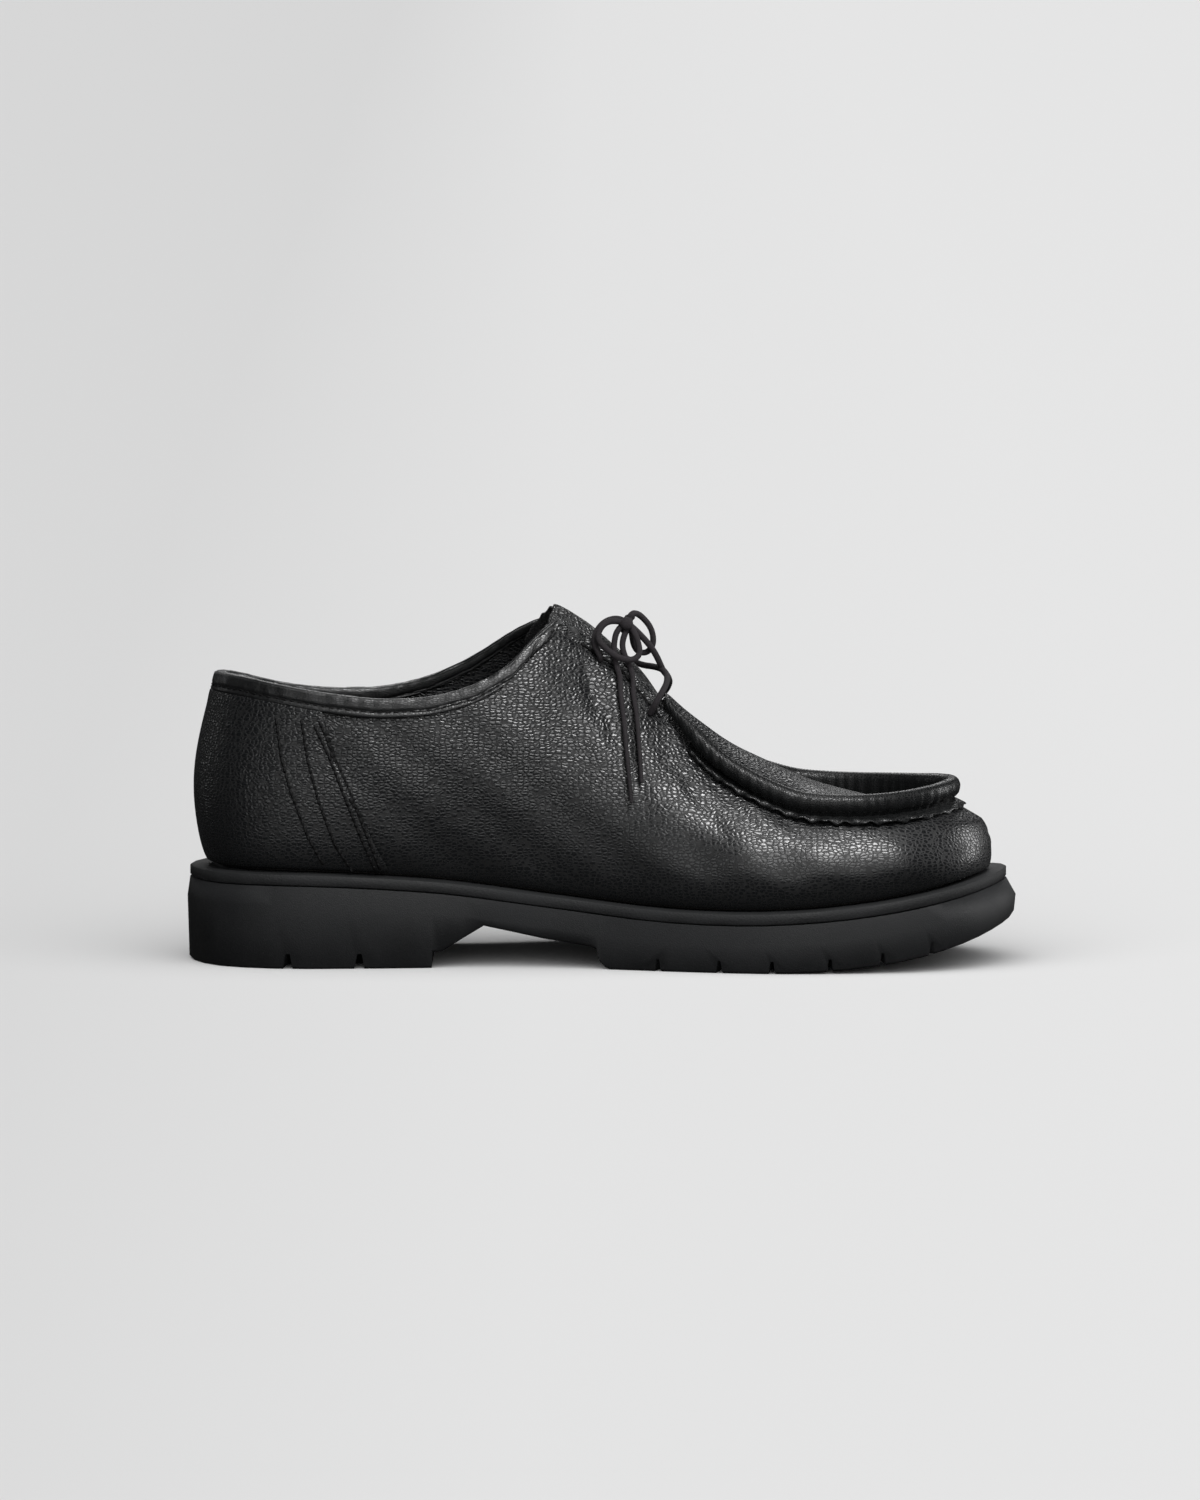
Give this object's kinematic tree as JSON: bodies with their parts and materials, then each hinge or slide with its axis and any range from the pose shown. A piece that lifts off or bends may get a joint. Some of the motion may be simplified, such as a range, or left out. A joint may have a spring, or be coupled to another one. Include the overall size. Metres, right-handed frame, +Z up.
{
  "type": "apron toe derby shoe",
  "caption": "Low lace-up shoe with a rolled apron seam round the toe, a bound topline, a heel counter and a thick lug rubber sole, standing empty and tied in a bow.",
  "frame": {"origin": "on the floor, under the middle of the sole's length and width", "axes": "+X towards the toe, +Y towards the outer side of the foot, +Z up"},
  "size_m": [0.3, 0.1076, 0.128],
  "materials": {
    "sole_rubber": "matte moulded black rubber",
    "midsole_band": "matte black rubber with a fine pitted edge",
    "insole_leather": "smooth matt black leather",
    "upper_leather": "black pebbled leather with a satin gloss",
    "binding_leather": "smooth black leather strip with a stitch line",
    "tongue_leather": "soft black leather with a raw edge",
    "lace_cord": "round woven black cord"
  },
  "bodies": {
    "root": {"outsole": "sole_rubber", "midsole": "midsole_band", "insole": "insole_leather", "upper": "upper_leather", "apron_roll": "upper_leather", "seam_flange": "upper_leather", "heel_counter": "upper_leather", "topline_binding": "binding_leather", "tongue": "tongue_leather", "lace_bars": "lace_cord", "lace_knot": "lace_cord", "lace_loop_near": "lace_cord", "lace_loop_far": "lace_cord", "lace_end_front": "lace_cord", "lace_end_rear": "lace_cord"}
  },
  "joints": []
}
